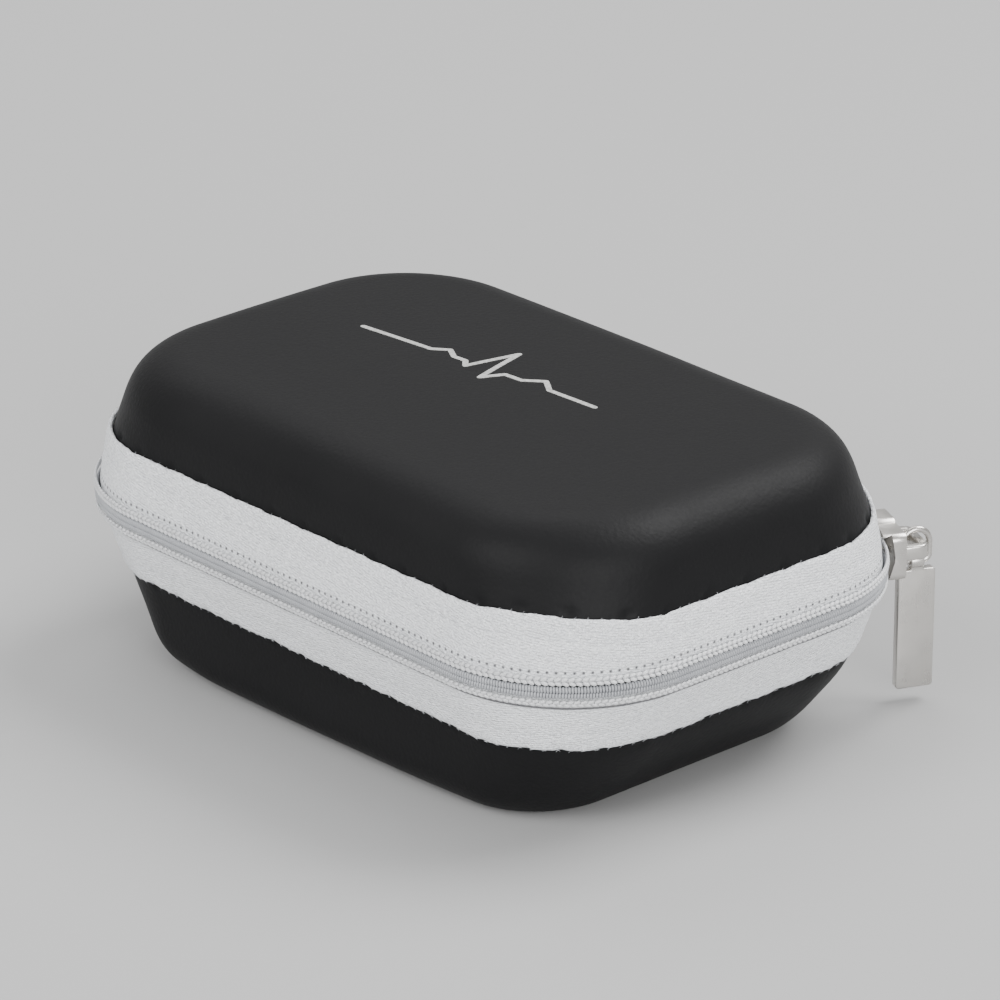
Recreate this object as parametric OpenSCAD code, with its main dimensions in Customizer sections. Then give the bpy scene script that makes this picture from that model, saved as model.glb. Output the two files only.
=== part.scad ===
/* [Case] */
// Length over the zip tape
case_l = 108; // [84:1:150]
// Width over the zip tape
case_w = 72; // [56:1:100]
// Height of the closed case
case_h = 44.5; // [36:0.5:60]
// Plan radius of the four corners
corner_r = 21; // [20:0.5:27]
// Height of the zip line above the table
zip_z = 23.5; // [19:0.5:29]

/* [Shell shape] */
// Lean of the lid's wall from upright, in degrees
lid_lean = 9; // [2:0.5:13]
// Radius of the lid's rounded top edge
lid_round = 9.5; // [7:0.5:13]
// Lean of the base's wall from upright, in degrees
base_lean = 17; // [2:0.5:18]
// Radius of the base's rounded bottom edge
base_round = 8; // [6.5:0.5:12]

/* [Layers] */
// Thickness of the outer skin
skin_t = 0.6; // [0.4:0.1:1]
// Thickness of the moulded foam core
core_t = 2.8; // [1.5:0.1:3.4]
// Thickness of the lining
lining_t = 0.4; // [0.3:0.1:0.8]
// Thickness of the binding over the core's raw edge
binding_t = 0.5; // [0.3:0.1:0.8]
// How far the binding runs up the inside of the wall
binding_h = 5; // [3:0.5:7]

/* [Zip] */
// Thickness of the zip tape
tape_t = 0.6; // [0.4:0.1:0.8]
// Width of the upper tape, from the zip line to its sewn edge
lid_tape_w = 9.6; // [8:0.2:12]
// Width of the lower tape, from the zip line to its sewn edge
base_tape_w = 10.2; // [8:0.2:12]
// Width of one coil, from the zip line out
coil_w = 2.9; // [2.2:0.1:3.4]
// Thickness of the coil on the tape
coil_t = 0.9; // [0.7:0.1:1.4]
// Thickness of the sewing thread that holds the coil
thread_t = 0.25; // [0.15:0.05:0.4]
// Length of tape tucked under the spine strip at each end
tape_tuck = 4; // [2:0.5:8]

/* [Spine] */
// Length of the woven spine strip along the back
spine_l = 60; // [40:1:100]
// Distance of the fold line behind the tape's face
fold_out = 1.9; // [1:0.1:2.4]

/* [Slider and puller] */
// Place of the parked slider round the corner, from the short side
park_deg = 66; // [58:1:74]
// Length of the slider
slider_l = 9.4; // [8:0.2:11]
// Thickness of each slider plate
plate_t = 1.1; // [0.8:0.1:1.6]
// Diameter of the puller's wire loop
wire_d = 0.9; // [0.7:0.1:1.1]
// Width of the pull tab
tab_w = 5.4; // [4:0.2:7]
// Length of the pull tab
tab_l = 17.6; // [10:0.2:18.4]
// Thickness of the pull tab
tab_t = 1.4; // [1:0.1:2]

/* [Pocket and print] */
// Height of the mesh pocket above the zip line
pocket_up = 7.4; // [6:0.2:9]
// Distance of the pocket's elastic edge in front of the centre
pocket_front = 15; // [5:1:20]
// Thickness of the mesh
mesh_t = 0.5; // [0.3:0.1:0.8]
// Length of the printed pulse line on the lid
print_l = 44; // [30:1:50]
// Line width of the print
print_w = 0.8; // [0.5:0.1:1.2]

/* [Hidden] */
$fn = 96;

black = [0.12, 0.12, 0.12];
foam = [0.2, 0.2, 0.21];
lining_grey = [0.25, 0.25, 0.27];
tape_white = [0.87, 0.88, 0.9];
thread_white = [0.93, 0.94, 0.95];
coil_grey = [0.72, 0.73, 0.75];
print_grey = [0.7, 0.7, 0.7];
nickel = [0.75, 0.74, 0.72];

// The outline is a rectangle with four round corners; the zip tape's face lies on it.
corner_x = case_l / 2 - corner_r;
corner_y = case_w / 2 - corner_r;

// Each half shell is swept from one wall line: a straight leaning wall, then a round edge, up to the flat.
// A wall is its side (1 for the lid, -1 for the base), its height off the zip line, lean and edge radius.
// Places on it run from 0 at the zip line, over the round edge from 42, to 90 at the flat.
lid_wall = [1, case_h - zip_z + tape_t, lid_lean, lid_round];
base_wall = [-1, zip_z + tape_t, base_lean, base_round];
wall_step = 6;    // between the points that stand for the round edge
edge_from = 42;

run_gap = 0.2;      // play round the zip inside the slider
halves_gap = 0.12;  // half the gap between the two halves of the zip
fold_gap = 0.3;     // half the gap between the two halves of the spine
edge_gap = 0.9;     // play between the slider and the edge binding
lay_gap = 0.02;     // play between a sewn thread and what it lies on

slider_half_w = coil_w + run_gap + 0.8;
rim_up = slider_half_w + edge_gap + binding_t;  // zip line to the core's raw edge
tape_edge_in = coil_w * 0.42;                   // zip line to the tape's woven edge
inside_d = tape_t + skin_t + core_t + lining_t; // outline to the lining's face
seam_w = 0.8;
seam_t = 0.25;
seam_from_edge = 2.6;
spine_t = 0.6;

// Length of the straight wall, and inset of the round edge's centre.
function straight_l(w) = (w[1] - w[3] * (1 - sin(w[2]))) / cos(w[2]);
function edge_centre(w) = straight_l(w) * sin(w[2]) + w[3] * cos(w[2]);

// A point at place a on the wall, depth d under the tape's face: [inset, height].
function curve_at(w, a, d) =
    let (l = straight_l(w) * a / edge_from,
         turn = w[2] + (90 - w[2]) * (a - edge_from) / (90 - edge_from),
         in = a < edge_from ? l * sin(w[2]) + d * cos(w[2]) : edge_centre(w) - (w[3] - d) * cos(turn),
         up = a < edge_from ? l * cos(w[2]) - d * sin(w[2]) : w[1] - w[3] + (w[3] - d) * sin(turn))
    [in, zip_z + w[0] * up];

// The same point on the chords between the steps, so that layers meet face to face.
function wall_at(w, a, d) =
    let (k = min(floor(a / wall_step), 90 / wall_step - 1), t = a / wall_step - k)
    curve_at(w, k * wall_step, d) * (1 - t) + curve_at(w, (k + 1) * wall_step, d) * t;

// Place at which depth d of the wall stands a given height off the zip line, by halving.
function angle_at(w, up, d = 0, lo = 0, hi = 90) =
    let (mid = (lo + hi) / 2)
    hi - lo < 0.001 ? mid
    : w[0] * (wall_at(w, mid, d)[1] - zip_z) < up ? angle_at(w, up, d, mid, hi)
    : angle_at(w, up, d, lo, mid);

// The wall's line at depth d between two places, with every step between them.
function steps_between(a0, a1) =
    [for (k = [floor(a0 / wall_step + 0.01) + 1 : ceil(a1 / wall_step - 0.01) - 1]) k * wall_step];
function reversed(list) = [for (i = [len(list) - 1:-1:0]) list[i]];
function wall_line(w, a0, a1, d) =
    [for (a = concat([a0], steps_between(a0, a1), [a1])) wall_at(w, a, d)];

// A closed section between depths d0 and d1, from height u0 to height u1 off the zip line.
function strip_section(w, u0, u1, d0, d1) =
    let (a0 = angle_at(w, u0), a1 = angle_at(w, u1))
    concat(wall_line(w, a0, a1, d0), reversed(wall_line(w, a0, a1, d1)));

// The section of a whole shell layer, which runs on over the flat to the corner's axis.
function layer_section(w, u0, d0, d1) =
    let (a0 = angle_at(w, u0))
    concat(wall_line(w, a0, 90, d0),
           [[corner_r, wall_at(w, 90, d0)[1]], [corner_r, wall_at(w, 90, d1)[1]]],
           reversed(wall_line(w, a0, 90, d1)));

module section(pts) {
    polygon([for (p = pts) [corner_r - p[0], p[1]]]);
}

// A section carried along a straight side: it runs towards -Y and faces +X.
module side(pts, length) {
    rotate([90, 0, 0]) linear_extrude(length) section(pts);
}

module corner(pts, sweep = 90) {
    rotate_extrude(angle = sweep) section(pts);
}

module front_and_sides(pts) {
    translate([corner_x, corner_y, 0]) side(pts, 2 * corner_y);
    translate([-corner_x, -corner_y, 0]) rotate(180) side(pts, 2 * corner_y);
    translate([corner_x, -corner_y, 0]) rotate(270) side(pts, 2 * corner_x);
    translate([-corner_x, -corner_y, 0]) rotate(180) corner(pts);
    translate([corner_x, -corner_y, 0]) rotate(270) corner(pts);
}

// A stretch of the straight back, from x0 for a length.
module back_stretch(pts, x0, length) {
    translate([x0, corner_y, 0]) rotate(90) side(pts, length);
}

module ring(pts) {
    front_and_sides(pts);
    translate([corner_x, corner_y, 0]) corner(pts);
    translate([-corner_x, corner_y, 0]) rotate(90) corner(pts);
    back_stretch(pts, -corner_x, 2 * corner_x);
}

// Round the front and both ends, then as far into each back corner as given.
module open_ring(pts, right_deg, left_deg) {
    front_and_sides(pts);
    translate([corner_x, corner_y, 0]) corner(pts, right_deg);
    translate([-corner_x, corner_y, 0]) mirror([1, 0, 0]) corner(pts, left_deg);
}

module tape_ring(pts) {
    open_ring(pts, 90, 90);
    back_stretch(pts, spine_l / 2 - tape_tuck, corner_x - spine_l / 2 + tape_tuck);
    back_stretch(pts, -corner_x, corner_x - spine_l / 2 + tape_tuck);
}

module shell_layer(w, d0, d1) {
    z0 = wall_at(w, 90, d0)[1];
    z1 = wall_at(w, 90, d1)[1];
    ring(layer_section(w, rim_up, d0, d1));
    translate([-corner_x, -corner_y, min(z0, z1)])
        cube([2 * corner_x, 2 * corner_y, abs(z1 - z0)]);
}

module skin(w) {
    color(black) shell_layer(w, tape_t, tape_t + skin_t);
}

module core(w) {
    color(foam) shell_layer(w, tape_t + skin_t, tape_t + skin_t + core_t);
}

module lining(w) {
    color(lining_grey) shell_layer(w, tape_t + skin_t + core_t, inside_d);
}

// An angle of woven binding: under the core's raw edge and up the inside of the lining.
module binding(w) {
    a_under = angle_at(w, rim_up - binding_t);
    a_rim = angle_at(w, rim_up);
    a_top = angle_at(w, rim_up + binding_h);
    color(black)
        ring(concat([wall_at(w, a_under, tape_t)],
                    wall_line(w, a_under, a_top, inside_d + binding_t),
                    reversed(wall_line(w, a_rim, a_top, inside_d)),
                    [wall_at(w, a_rim, tape_t)]));
}

module tape(w, width) {
    color(tape_white) tape_ring(strip_section(w, tape_edge_in, width, 0, tape_t));
}

module seam(w, width) {
    u1 = width - seam_from_edge;
    color(thread_white)
        open_ring(strip_section(w, u1 - seam_w, u1, -seam_t - lay_gap, -lay_gap), 88, 88);
}

coil_right_deg = park_deg + 1.5;  // the coil ends at the parked slider's post
coil_left_deg = 84;

module coil(w) {
    color(coil_grey)
        open_ring(strip_section(w, halves_gap, coil_w, -coil_t - lay_gap, -lay_gap),
                  coil_right_deg, coil_left_deg);
}

module coil_thread(w) {
    d = coil_t + 2 * lay_gap;
    color(thread_white)
        open_ring(strip_section(w, coil_w * 0.45, coil_w, -d - thread_t, -d),
                  coil_right_deg, coil_left_deg);
}

// Half of the woven strip that is the case's hinge: thin over the tape ends, full between them.
module spine_half(w, width) {
    inner_l = spine_l - 2 * tape_tuck - 0.4;
    color(black) {
        back_stretch(strip_section(w, fold_gap, width + 1, -spine_t, 0), -spine_l / 2, spine_l);
        back_stretch(strip_section(w, fold_gap, width + 1, 0, tape_t), -inner_l / 2, inner_l);
    }
}

// A block of satin stitches across both tapes, just before the spine strip.
module bar_tack(hand) {
    tack_w = 1.6;
    tack_up = coil_w + 1;
    start = 86;
    sweep = tack_w / corner_r * 180 / PI;
    color(thread_white)
        translate([hand * corner_x, corner_y, 0]) rotate(hand > 0 ? start : 180 - start - sweep)
            rotate_extrude(angle = sweep)
                translate([corner_r + lay_gap, zip_z - tack_up]) square([0.5, 2 * tack_up]);
}

module mesh_pocket() {
    z = zip_z + pocket_up;
    reach = pocket_reach(pocket_up + mesh_t);
    color(lining_grey) intersection() {
        translate([0, 0, z]) linear_extrude(mesh_t) inner_outline(reach);
        translate([-case_l / 2, -pocket_front, 0]) cube([case_l, case_w, case_h]);
    }
}

// Inset that clears the lid's binding at a height off the zip line.
function pocket_reach(up) =
    let (d = inside_d + binding_t + lay_gap) wall_at(lid_wall, angle_at(lid_wall, up, d), d)[0];

module inner_outline(reach) {
    r = corner_r - reach;
    square([2 * (corner_x + r), 2 * corner_y], center = true);
    square([2 * corner_x, 2 * (corner_y + r)], center = true);
    for (x = [-1, 1], y = [-1, 1])
        translate([x * corner_x, y * corner_y]) circle(r);
}

elastic_w = 4;
elastic_t = 1.3;

module pocket_elastic() {
    reach = pocket_reach(pocket_up + mesh_t / 2 + elastic_t / 2);
    past_corner = max(0, pocket_front + elastic_w - corner_y);
    half_l = corner_x + sqrt(pow(corner_r - reach, 2) - pow(past_corner, 2)) - lay_gap;
    color(black)
        translate([-half_l, -pocket_front - elastic_w, zip_z + pocket_up + mesh_t / 2 - elastic_t / 2])
            cube([2 * half_l, elastic_w, elastic_t]);
}

// A heartbeat trace: level, small wave, sharp beat, wave, level. Steps along and heights, in shares.
print_rise = 7;
print_x = -5.5;
print_y = 3.5;
print_turn = 4;
pulse = [[0, 0], [0.3, 0], [0.35, 0.22], [0.4, 0], [0.45, 0], [0.48, -0.2], [0.53, 1],
         [0.58, -0.45], [0.62, 0], [0.69, 0], [0.75, 0.3], [0.81, 0], [1, 0]];
print_t = 0.06;

module print_stroke(p, q) {
    d = q - p;
    translate(p) rotate(atan2(d[1], d[0])) translate([0, -print_w / 2]) square([norm(d), print_w]);
    translate(p) circle(print_w * 0.48, $fn = 12);
    translate(q) circle(print_w * 0.48, $fn = 12);
}

module lid_print() {
    pts = [for (p = pulse) [(p[0] - 0.5) * print_l, p[1] * print_rise]];
    color(print_grey) translate([print_x, print_y, case_h]) rotate(print_turn) linear_extrude(print_t)
        for (i = [0:len(pts) - 2]) print_stroke(pts[i], pts[i + 1]);
}

// The slider is drawn at the zip: x out from the corner's axis, y along the zip, z up.
zip_proud = coil_t + thread_t + 2 * lay_gap;  // how far the zip stands off the tape's face
lean_in = max([for (w = [base_wall, lid_wall]) wall_at(w, angle_at(w, slider_half_w), tape_t + run_gap)[0]]);
plate_in = corner_r - lean_in - plate_t;
plate_out = corner_r + zip_proud + run_gap + plate_t;
post_l = 3.4;
post_w = 2 * (tape_edge_in - run_gap);
wire_bend = 1.9;                       // wire's centre line at the loop's top
crown_t = 1.2;
crown_w = 2.1;
crown_l = slider_l - 2;
pivot_r = plate_out + wire_bend + wire_d / 2 + 0.9;
loop_drop = 2.7;                       // pivot to the loop's bottom bar
bore_play = 0.05;
lug_r = 1.05;
lug_w = 1.9;
tab_gap = 0.1;

module at_slider() {
    translate([corner_x, corner_y, zip_z]) rotate(park_deg) children();
}

module rounded(w, l, r) {
    square([w - 2 * r, l], center = true);
    square([w, l - 2 * r], center = true);
    for (x = [-1, 1], y = [-1, 1]) translate([x * (w / 2 - r), y * (l / 2 - r)]) circle(r, $fn = 48);
}

// A plate seen from outside: broad shoulders at the leading end, a narrower tail.
module plate_outline() {
    shoulder_l = slider_l * 0.56;
    translate([0, slider_l / 2 - shoulder_l / 2]) rounded(2 * slider_half_w, shoulder_l, 1.3);
    translate([0, -slider_l * 0.1]) rounded(2 * slider_half_w - 1, slider_l * 0.8, 1.1);
}

// From the zip line out to a height, between depth d and the play under the tape.
function way_section(w, up, d) =
    let (a1 = angle_at(w, up), inner = tape_t + run_gap)
    concat([[wall_at(w, 0, d)[0], zip_z]], wall_line(w, 0.2, a1, d),
           reversed(wall_line(w, 0.2, a1, inner)), [[wall_at(w, 0, inner)[0], zip_z]]);

// The way through the slider for the coils, with a slot each side for the tape.
module zip_way() {
    span = 2 * asin(slider_l / corner_r);
    coil_room = coil_w + run_gap;
    rotate(-span / 2) rotate_extrude(angle = span) translate([0, -zip_z]) for (w = [base_wall, lid_wall]) {
        section(way_section(w, slider_half_w + 1, -run_gap));
        section(way_section(w, coil_room, -zip_proud - run_gap));
    }
}

module slider_body() {
    color(nickel) at_slider() {
        difference() {
            translate([plate_in, 0, 0]) rotate([0, 90, 0])
                linear_extrude(plate_out - plate_in) plate_outline();
            zip_way();
        }
        translate([plate_in + plate_t / 2, slider_l / 2 - post_l - 0.6, -post_w / 2])
            cube([plate_out - plate_in - plate_t, post_l, post_w]);
    }
}

// The bail that holds the puller: a flat bar on two feet, with rounded shoulders.
module slider_crown() {
    top = pivot_r + crown_t / 2;
    rise = top - plate_out;
    color(nickel) at_slider()
        translate([plate_out, 0, -crown_w / 2]) linear_extrude(crown_w) difference() {
            union() {
                translate([0, -crown_l / 2]) square([rise - 1.4, crown_l]);
                translate([0, -crown_l / 2 + 1.4]) square([rise, crown_l - 2.8]);
                for (y = [-1, 1]) translate([rise - 1.4, y * (crown_l / 2 - 1.4)]) circle(1.4, $fn = 48);
            }
            translate([-1, -crown_l / 2 + crown_t]) square([rise - crown_t + 1, crown_l - 2 * crown_t]);
        }
}

module wire(length) {
    cylinder(h = length, d = wire_d, $fn = 32);
}

// A bent stretch of wire in the X-Z plane, round the origin, from +X upwards.
module wire_arc(bend, sweep) {
    rotate([90, 0, 0]) rotate_extrude(angle = sweep) translate([bend, 0]) circle(d = wire_d, $fn = 32);
}

module puller_loop() {
    foot = 0.85;  // bend of the bottom corners
    color(nickel) at_slider() translate([pivot_r, 0, 0]) {
        wire_arc(wire_bend, 180);
        for (x = [-1, 1]) translate([x * wire_bend, 0, foot - loop_drop]) wire(loop_drop - foot);
        for (x = [0, 1]) mirror([x, 0, 0]) translate([foot - wire_bend, 0, foot - loop_drop])
            rotate([0, 180, 0]) wire_arc(foot, 90);
        translate([foot - wire_bend, 0, -loop_drop]) rotate([0, 90, 0]) wire(2 * (wire_bend - foot));
    }
}

// A flat tab hung on the loop's bottom bar by a bored lug.
module pull_tab() {
    top = -loop_drop - lug_r - tab_gap;
    color(nickel) at_slider() translate([pivot_r, 0, 0]) difference() {
        union() {
            translate([-lug_w / 2, 0, -loop_drop]) rotate([0, 90, 0]) cylinder(h = lug_w, r = lug_r, $fn = 48);
            translate([-lug_w / 2, -tab_t / 2, top - 0.5]) cube([lug_w, tab_t, -loop_drop - top + 0.5]);
            translate([0, tab_t / 2, top - tab_l / 2]) rotate([90, 0, 0])
                linear_extrude(tab_t) rounded(tab_w, tab_l, 0.5);
        }
        translate([-lug_w, 0, -loop_drop]) rotate([0, 90, 0])
            cylinder(h = 2 * lug_w, r = wire_d / 2 + bore_play, $fn = 48);
    }
}

skin(base_wall);  // base_skin
core(base_wall);  // base_core
lining(base_wall);  // base_lining
binding(base_wall);  // base_binding
tape(base_wall, base_tape_w);  // base_tape
seam(base_wall, base_tape_w);  // base_seam
coil(base_wall);  // base_coil
coil_thread(base_wall);  // base_coil_thread
spine_half(base_wall, base_tape_w);  // spine_base_half
bar_tack(-1);  // bar_tack_left
bar_tack(1);  // bar_tack_right
skin(lid_wall);  // lid_skin
core(lid_wall);  // lid_core
lining(lid_wall);  // lid_lining
binding(lid_wall);  // lid_binding
tape(lid_wall, lid_tape_w);  // lid_tape
seam(lid_wall, lid_tape_w);  // lid_seam
coil(lid_wall);  // lid_coil
coil_thread(lid_wall);  // lid_coil_thread
spine_half(lid_wall, lid_tape_w);  // spine_lid_half
mesh_pocket();
pocket_elastic();
lid_print();
slider_body();
slider_crown();
puller_loop();
pull_tab();
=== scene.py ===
import bpy, bmesh, math, random
from mathutils import Vector, Matrix, noise


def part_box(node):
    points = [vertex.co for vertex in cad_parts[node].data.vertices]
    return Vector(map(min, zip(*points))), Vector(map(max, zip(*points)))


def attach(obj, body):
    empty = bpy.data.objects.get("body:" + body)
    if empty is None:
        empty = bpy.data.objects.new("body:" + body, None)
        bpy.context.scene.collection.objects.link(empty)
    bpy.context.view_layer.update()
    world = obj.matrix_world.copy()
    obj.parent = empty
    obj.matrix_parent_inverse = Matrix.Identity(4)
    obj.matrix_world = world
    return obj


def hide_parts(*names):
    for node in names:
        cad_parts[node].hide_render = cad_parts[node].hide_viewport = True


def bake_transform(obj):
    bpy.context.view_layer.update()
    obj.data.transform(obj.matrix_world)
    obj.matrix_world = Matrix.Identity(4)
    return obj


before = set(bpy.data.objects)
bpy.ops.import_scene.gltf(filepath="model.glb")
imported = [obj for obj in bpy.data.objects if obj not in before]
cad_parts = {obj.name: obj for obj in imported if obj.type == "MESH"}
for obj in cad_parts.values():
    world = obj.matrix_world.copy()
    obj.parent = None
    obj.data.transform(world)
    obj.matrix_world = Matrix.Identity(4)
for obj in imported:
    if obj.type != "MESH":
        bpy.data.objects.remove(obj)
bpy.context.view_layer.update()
mm = 0.001
random.seed(7)

# the case's shape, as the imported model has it
tapeLow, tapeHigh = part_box("base_tape")
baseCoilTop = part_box("base_coil")[1].z
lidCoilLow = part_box("lid_coil")[0].z
caseShape = {
    "halfLength": tapeHigh.x,
    "halfWidth": -tapeLow.y,
    "cornerRadius": 21 * mm,
    "zipHeight": (baseCoilTop + lidCoilLow) / 2,
    "lidTop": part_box("lid_skin")[1].z,
    "tapeThickness": 0.6 * mm,
    "lidLean": math.radians(9), "lidRound": 9.5 * mm,
    "baseLean": math.radians(17), "baseRound": 8 * mm,
    "lidCrown": 0.9 * mm,        # the lid's middle stands this much over its edges
    "lidTapeWidth": 9.6 * mm, "baseTapeWidth": 10.2 * mm,
    "spineHalf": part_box("spine_lid_half")[1].x,
    # low down in the base: how far the front bulges, and the left and right ends draw in
    "baseTuck": (4.3 * mm, 4 * mm, 4.8 * mm),
    "tuckFade": 12 * mm,
    "lidCornerMore": 3 * mm,     # the lid's corners are this much rounder above the tape
    "cornerFade": 9 * mm,
}
cornerRadius = caseShape["cornerRadius"]
zipHeight = caseShape["zipHeight"]
coreX = caseShape["halfLength"] - cornerRadius     # corner centres
coreY = caseShape["halfWidth"] - cornerRadius
tapeT = caseShape["tapeThickness"]
spineHalf = caseShape["spineHalf"]
lidRise = caseShape["lidTop"] - zipHeight + tapeT
baseDrop = zipHeight + tapeT
halves = ("lid", "base")
walls = {
    "lid": (1, lidRise, caseShape["lidLean"], caseShape["lidRound"]),
    "base": (-1, baseDrop, caseShape["baseLean"], caseShape["baseRound"]),
}
edgeFrom = math.radians(42)
quarter = cornerRadius * math.pi / 2
perimeter = 4 * coreX + 4 * coreY + 4 * quarter
leftCornerStart, rightCornerStart = coreX, perimeter - coreX - quarter


def wallPoint(half, place, depth):
    # inset from the outline and height: place runs from 0 at the zip line, over the round edge
    # from edgeFrom, to a quarter turn at the flat
    sign, up, lean, edge = walls[half]
    straight = (up - edge * (1 - math.sin(lean))) / math.cos(lean)
    if place < edgeFrom:
        along = straight * place / edgeFrom
        return (along * math.sin(lean) + depth * math.cos(lean),
                zipHeight + sign * (along * math.cos(lean) - depth * math.sin(lean)))
    turn = lean + (math.pi / 2 - lean) * (place - edgeFrom) / (math.pi / 2 - edgeFrom)
    centre = straight * math.sin(lean) + edge * math.cos(lean)
    return (centre - (edge - depth) * math.cos(turn),
            zipHeight + sign * (up - edge + (edge - depth) * math.sin(turn)))


def angleAt(half, up):
    # place on the wall that stands this far up from the zip line
    low, high = 0.0, math.pi / 2
    for i in range(30):
        middle = (low + high) / 2
        if walls[half][0] * (wallPoint(half, middle, 0)[1] - zipHeight) < up:
            low = middle
        else:
            high = middle
    return (low + high) / 2


def planAt(s):
    # centre line point and outward direction, s metres on from the middle of the back, leftwards
    s = s % perimeter
    legs = ((coreX, (0, coreY), (-1, 0), 90), (quarter, (-coreX, coreY), None, 90),
            (2 * coreY, (-coreX, coreY), (0, -1), 180), (quarter, (-coreX, -coreY), None, 180),
            (2 * coreX, (-coreX, -coreY), (1, 0), 270), (quarter, (coreX, -coreY), None, 270),
            (2 * coreY, (coreX, -coreY), (0, 1), 0), (quarter, (coreX, coreY), None, 0),
            (coreX, (coreX, coreY), (-1, 0), 90))
    for length, start, run, turn in legs:
        if s <= length + 1e-9:
            if run:
                t = math.radians(turn)
                return start[0] + run[0] * s, start[1] + run[1] * s, math.cos(t), math.sin(t)
            t = math.radians(turn) + s / cornerRadius
            return start[0], start[1], math.cos(t), math.sin(t)
        s -= length
    return 0, coreY, 0, 1


def placed(plan, inset, height):
    ax, ay, nx, ny = plan
    return Vector((ax + nx * (cornerRadius - inset), ay + ny * (cornerRadius - inset), height))


def onWall(half, s, up, depth):
    return placed(planAt(s), *wallPoint(half, angleAt(half, up), depth))


def outwardAt(half, s, up):
    return (onWall(half, s, up, -1 * mm) - onWall(half, s, up, 0)).normalized()


def crownDrop(x, y):
    share = (x / caseShape["halfLength"]) ** 2 + (y / caseShape["halfWidth"]) ** 2
    return caseShape["lidCrown"] * 1.8 * share / (1 + share)


def smooth(t):
    t = max(0, min(1, t))
    return t * t * (3 - 2 * t)


def baseTuck(p):
    # below the tape the soft base is fuller along its front and drawn in towards its ends
    bulge, drawLeft, drawRight = caseShape["baseTuck"]
    along = (p.x / caseShape["halfLength"] + 1) / 2
    front = (1 - p.y / caseShape["halfWidth"]) / 2
    below = smooth((zipHeight - p.z - caseShape["baseTapeWidth"] - 0.3 * mm) / caseShape["tuckFade"])
    return Vector((drawLeft * (1 - along) ** 2 - drawRight * along ** 2,
                   -bulge * (1 - along ** 4) * smooth(along / 0.3) * front, 0)) * below


def cornerDraw(p, s):
    # a rounder corner: its centre moves in and its radius grows, and the straight walls follow
    ax, ay, nx, ny = planAt(s)
    fade = caseShape["cornerFade"]
    above = smooth((p.z - zipHeight - caseShape["lidTapeWidth"] * 0.7) / fade)
    reach = min(1, math.hypot(p.x - ax, p.y - ay) / fade)
    return Vector((nx - ax / coreX, ny - ay / coreY, 0)) * caseShape["lidCornerMore"] * above * reach


def inScene(name, data):
    obj = bpy.data.objects.new(name, data)
    bpy.context.scene.collection.objects.link(obj)
    return obj


def makeObject(name, verts, faces, material, uv=None, merge=None):
    mesh = bpy.data.meshes.new(name)
    mesh.from_pydata([tuple(v) for v in verts], [], faces)
    if uv:
        layer = mesh.uv_layers.new(name="weave")
        for loop in mesh.loops:
            layer.data[loop.index].uv = uv[loop.vertex_index]
    bm = bmesh.new()
    bm.from_mesh(mesh)
    if merge:
        bmesh.ops.remove_doubles(bm, verts=bm.verts, dist=merge)
    if bm.calc_volume(signed=True) < 0:
        bmesh.ops.reverse_faces(bm, faces=bm.faces)
    bm.to_mesh(mesh)
    bm.free()
    mesh.polygons.foreach_set("use_smooth", [True] * len(mesh.polygons))
    mesh.materials.append(material)
    return inScene(name, mesh)


def sweep(name, rings, closed, material, uvRings):
    # rings of points, joined one to the next, capped at both ends unless closed
    n, count = len(rings[0]), len(rings)
    verts = [p for ring in rings for p in ring]
    uv = [p for ring in uvRings for p in ring]
    faces = []
    for i in range(count if closed else count - 1):
        j = (i + 1) % count
        for k in range(n):
            m = (k + 1) % n
            faces.append((i * n + k, i * n + m, j * n + m, j * n + k))
    if not closed:
        faces.append(tuple(range(n - 1, -1, -1)))
        faces.append(tuple((count - 1) * n + k for k in range(n)))
    return makeObject(name, verts, faces, material, uv)


def bakedMesh(obj):
    # an object's shape with its modifiers worked in
    graph = bpy.context.evaluated_depsgraph_get()
    mesh = bpy.data.meshes.new_from_object(obj.evaluated_get(graph))
    obj.modifiers.clear()
    return mesh


def newNode(tree, kind, **settings):
    node = tree.nodes.new(kind)
    for key, value in settings.items():
        setattr(node, key, value)
    return node


def setInputs(node, **values):
    for key, value in values.items():
        node.inputs[key.replace("_", " ")].default_value = value
    return node


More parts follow.
